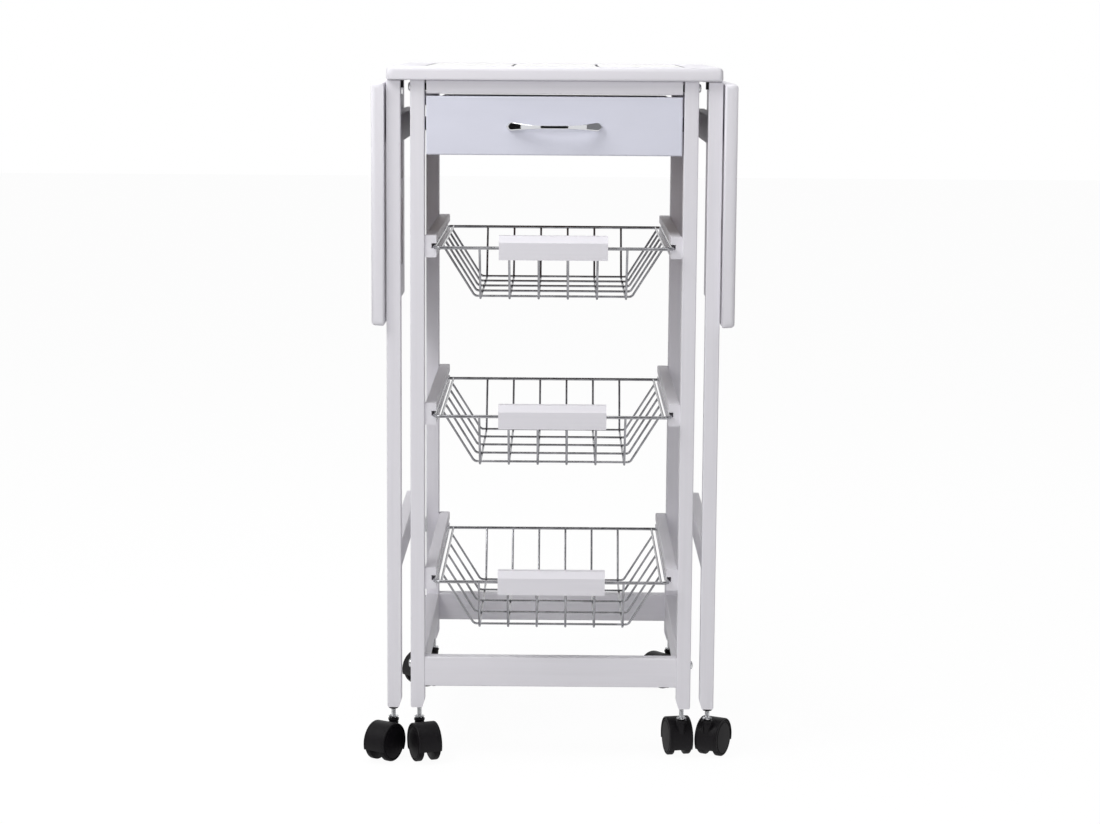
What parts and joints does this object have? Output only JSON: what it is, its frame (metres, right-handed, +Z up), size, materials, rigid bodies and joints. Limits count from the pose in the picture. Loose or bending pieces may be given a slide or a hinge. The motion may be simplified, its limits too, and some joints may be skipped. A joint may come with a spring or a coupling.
{
  "type": "kitchen cart",
  "caption": "Narrow rolling kitchen cart with a tiled top, a drawer, wire baskets on wooden slides and two drop leaves carried by hinged gate frames.",
  "frame": {"origin": "on the floor, under the middle of the box round the whole cart", "axes": "+Z up, -Y towards the front with the drawer handle, +X to the right seen from the front"},
  "size_m": [0.4217, 0.3962, 0.783],
  "materials": {
    "white_lacquer": "white satin lacquer on solid wood",
    "tile": "glossy white glaze",
    "grout": "dark grey cement grout",
    "hardboard": "raw brown hardboard",
    "zinc_steel": "zinc plated steel",
    "plated_wire": "plated steel wire",
    "chrome": "polished chrome",
    "black_plastic": "moulded black nylon",
    "wheel_plastic": "moulded black nylon, hard tread"
  },
  "bodies": {
    "frame": {"top_frame": "white_lacquer", "top_board": "hardboard", "top_grout": "grout", "top_tiles": "tile", "leaf_hinge_fixed": "zinc_steel", "leg_front_left": "white_lacquer", "leg_front_right": "white_lacquer", "leg_back_left": "white_lacquer", "leg_back_right": "white_lacquer", "rails_cross": "white_lacquer", "rails_side": "white_lacquer", "apron_front": "white_lacquer", "apron_back": "white_lacquer", "apron_washers": "black_plastic", "frame_bolts": "zinc_steel", "gate_pivots": "zinc_steel", "drawer_runners": "black_plastic", "basket_slides": "white_lacquer", "caster_stems": "zinc_steel"},
    "leaf_left": {"leaf_frame_left": "white_lacquer", "leaf_board_left": "hardboard", "leaf_grout_left": "grout", "leaf_tiles_left": "tile", "leaf_hinge_left": "zinc_steel"},
    "leaf_right": {"leaf_frame_right": "white_lacquer", "leaf_board_right": "hardboard", "leaf_grout_right": "grout", "leaf_tiles_right": "tile", "leaf_hinge_right": "zinc_steel"},
    "gate_left": {"gate_leg_left": "white_lacquer", "gate_rails_left": "white_lacquer", "gate_pad_left": "black_plastic", "stem_gate_left": "zinc_steel"},
    "gate_right": {"gate_leg_right": "white_lacquer", "gate_rails_right": "white_lacquer", "gate_pad_right": "black_plastic", "stem_gate_right": "zinc_steel"},
    "drawer": {"drawer_front": "white_lacquer", "drawer_box": "white_lacquer", "drawer_panel": "hardboard", "drawer_handle": "chrome"},
    "top_basket": {"basket_top": "plated_wire", "handle_top": "white_lacquer"},
    "middle_basket": {"basket_middle": "plated_wire", "handle_middle": "white_lacquer"},
    "bottom_basket": {"basket_bottom": "plated_wire", "handle_bottom": "white_lacquer"},
    "caster_gate_left": {"hood_gate_left": "black_plastic"},
    "wheels_gate_left_turning": {"wheels_gate_left": "wheel_plastic"},
    "caster_front_left": {"hood_front_left": "black_plastic"},
    "wheels_front_left_turning": {"wheels_front_left": "wheel_plastic"},
    "caster_front_right": {"hood_front_right": "black_plastic"},
    "wheels_front_right_turning": {"wheels_front_right": "wheel_plastic"},
    "caster_gate_right": {"hood_gate_right": "black_plastic"},
    "wheels_gate_right_turning": {"wheels_gate_right": "wheel_plastic"},
    "caster_back_left": {"hood_back_left": "black_plastic"},
    "wheels_back_left_turning": {"wheels_back_left": "wheel_plastic"},
    "caster_back_right": {"hood_back_right": "black_plastic"},
    "wheels_back_right_turning": {"wheels_back_right": "wheel_plastic"}
  },
  "joints": [
    {"name": "leaf_left_hinge", "type": "hinge", "parent": "frame", "child": "leaf_left", "pos_m": [-0.18525, 0.01307, 0.766], "axis": [0, 1, 0], "range_deg": [0, 90]},
    {"name": "leaf_right_hinge", "type": "hinge", "parent": "frame", "child": "leaf_right", "pos_m": [0.18525, 0.01307, 0.766], "axis": [0, -1, 0], "range_deg": [0, 90]},
    {"name": "gate_left_pivot", "type": "hinge", "parent": "frame", "child": "gate_left", "pos_m": [-0.167, 0.18107, 0.472], "axis": [0, 0, 1], "range_deg": [-0.25, 0.15]},
    {"name": "gate_right_pivot", "type": "hinge", "parent": "frame", "child": "gate_right", "pos_m": [0.167, 0.18107, 0.472], "axis": [0, 0, 1], "range_deg": [-0.15, 0.25]},
    {"name": "drawer_slide", "type": "slide", "parent": "frame", "child": "drawer", "axis": [0, -1, 0], "range_m": [0, 0.25]},
    {"name": "top_basket_slide", "type": "slide", "parent": "frame", "child": "top_basket", "axis": [0, -1, 0], "range_m": [-0.014, 0.22]},
    {"name": "middle_basket_slide", "type": "slide", "parent": "frame", "child": "middle_basket", "axis": [0, -1, 0], "range_m": [-0.014, 0.22]},
    {"name": "bottom_basket_slide", "type": "slide", "parent": "frame", "child": "bottom_basket", "axis": [0, -1, 0], "range_m": [-0.014, 0.22]},
    {"name": "gate_left_swivel", "type": "hinge", "parent": "gate_left", "child": "caster_gate_left", "pos_m": [-0.179, -0.15493, 0.046], "axis": [0, 0, 1], "range_deg": [-145, 27]},
    {"name": "gate_left_spin", "type": "hinge", "parent": "caster_gate_left", "child": "wheels_gate_left_turning", "pos_m": [-0.18827, -0.17036, 0.021], "axis": [0.8572, -0.515, 0], "continuous": true},
    {"name": "front_left_swivel", "type": "hinge", "parent": "frame", "child": "caster_front_left", "pos_m": [-0.1495, -0.15493, 0.046], "axis": [0, 0, 1], "range_deg": [-18, 154]},
    {"name": "front_left_spin", "type": "hinge", "parent": "caster_front_left", "child": "wheels_front_left_turning", "pos_m": [-0.14276, -0.17162, 0.021], "axis": [0.9272, 0.3746, 0], "continuous": true},
    {"name": "front_right_swivel", "type": "hinge", "parent": "frame", "child": "caster_front_right", "pos_m": [0.1495, -0.15493, 0.046], "axis": [0, 0, 1], "range_deg": [-8, 164]},
    {"name": "front_right_spin", "type": "hinge", "parent": "caster_front_right", "child": "wheels_front_right_turning", "pos_m": [0.14576, -0.13732, 0.021], "axis": [-0.9781, -0.2079, 0], "continuous": true},
    {"name": "gate_right_swivel", "type": "hinge", "parent": "gate_right", "child": "caster_gate_right", "pos_m": [0.179, -0.15493, 0.046], "axis": [0, 0, 1], "range_deg": [-149, 23]},
    {"name": "gate_right_spin", "type": "hinge", "parent": "caster_gate_right", "child": "wheels_gate_right_turning", "pos_m": [0.18717, -0.13889, 0.021], "axis": [-0.891, 0.454, 0], "continuous": true},
    {"name": "back_left_swivel", "type": "hinge", "parent": "frame", "child": "caster_back_left", "pos_m": [-0.1495, 0.18107, 0.046], "axis": [0, 0, 1], "continuous": true},
    {"name": "back_left_spin", "type": "hinge", "parent": "caster_back_left", "child": "wheels_back_left_turning", "pos_m": [-0.16329, 0.1695, 0.021], "axis": [0.6428, -0.766, 0], "continuous": true},
    {"name": "back_right_swivel", "type": "hinge", "parent": "frame", "child": "caster_back_right", "pos_m": [0.1495, 0.18107, 0.046], "axis": [0, 0, 1], "continuous": true},
    {"name": "back_right_spin", "type": "hinge", "parent": "caster_back_right", "child": "wheels_back_right_turning", "pos_m": [0.13571, 0.1695, 0.021], "axis": [0.6428, -0.766, 0], "continuous": true}
  ]
}
